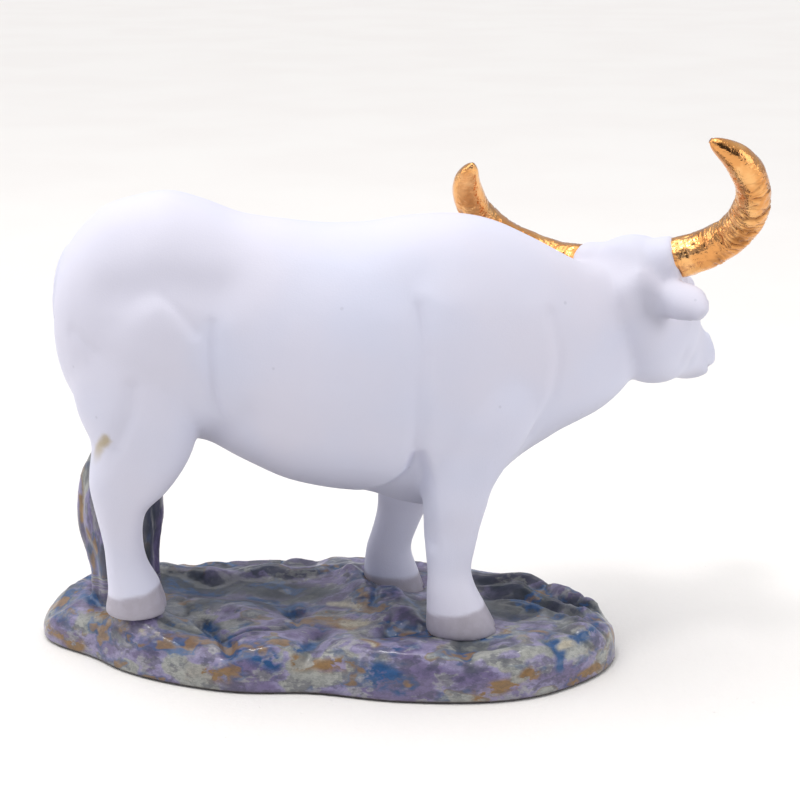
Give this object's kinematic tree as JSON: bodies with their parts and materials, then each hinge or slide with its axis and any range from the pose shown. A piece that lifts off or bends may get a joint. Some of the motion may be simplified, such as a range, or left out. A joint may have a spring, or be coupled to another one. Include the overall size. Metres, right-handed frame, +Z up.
{
  "type": "porcelain ox figurine",
  "caption": "Standing water ox in matte white porcelain, head turned to its left, with gilded crescent horns, on a glazed rock base that rises between the hind legs as a grooved stump.",
  "frame": {"origin": "on the table, under the middle of the bounding box", "axes": "+Z up, +X along the ox's back towards its chest, +Y to its left, the side its head turns to"},
  "size_m": [0.1796, 0.0785, 0.131],
  "materials": {
    "white_bisque": "matte unglazed porcelain, hooves washed in lilac grey",
    "gilding": "bright fired gold over fine cross ridges",
    "rock_glaze": "glossy mottled glaze in slate purple, cobalt, celadon grey and ochre"
  },
  "bodies": {
    "root": {"ox": "white_bisque", "horn_left": "gilding", "horn_right": "gilding", "rock_base": "rock_glaze"}
  },
  "joints": []
}
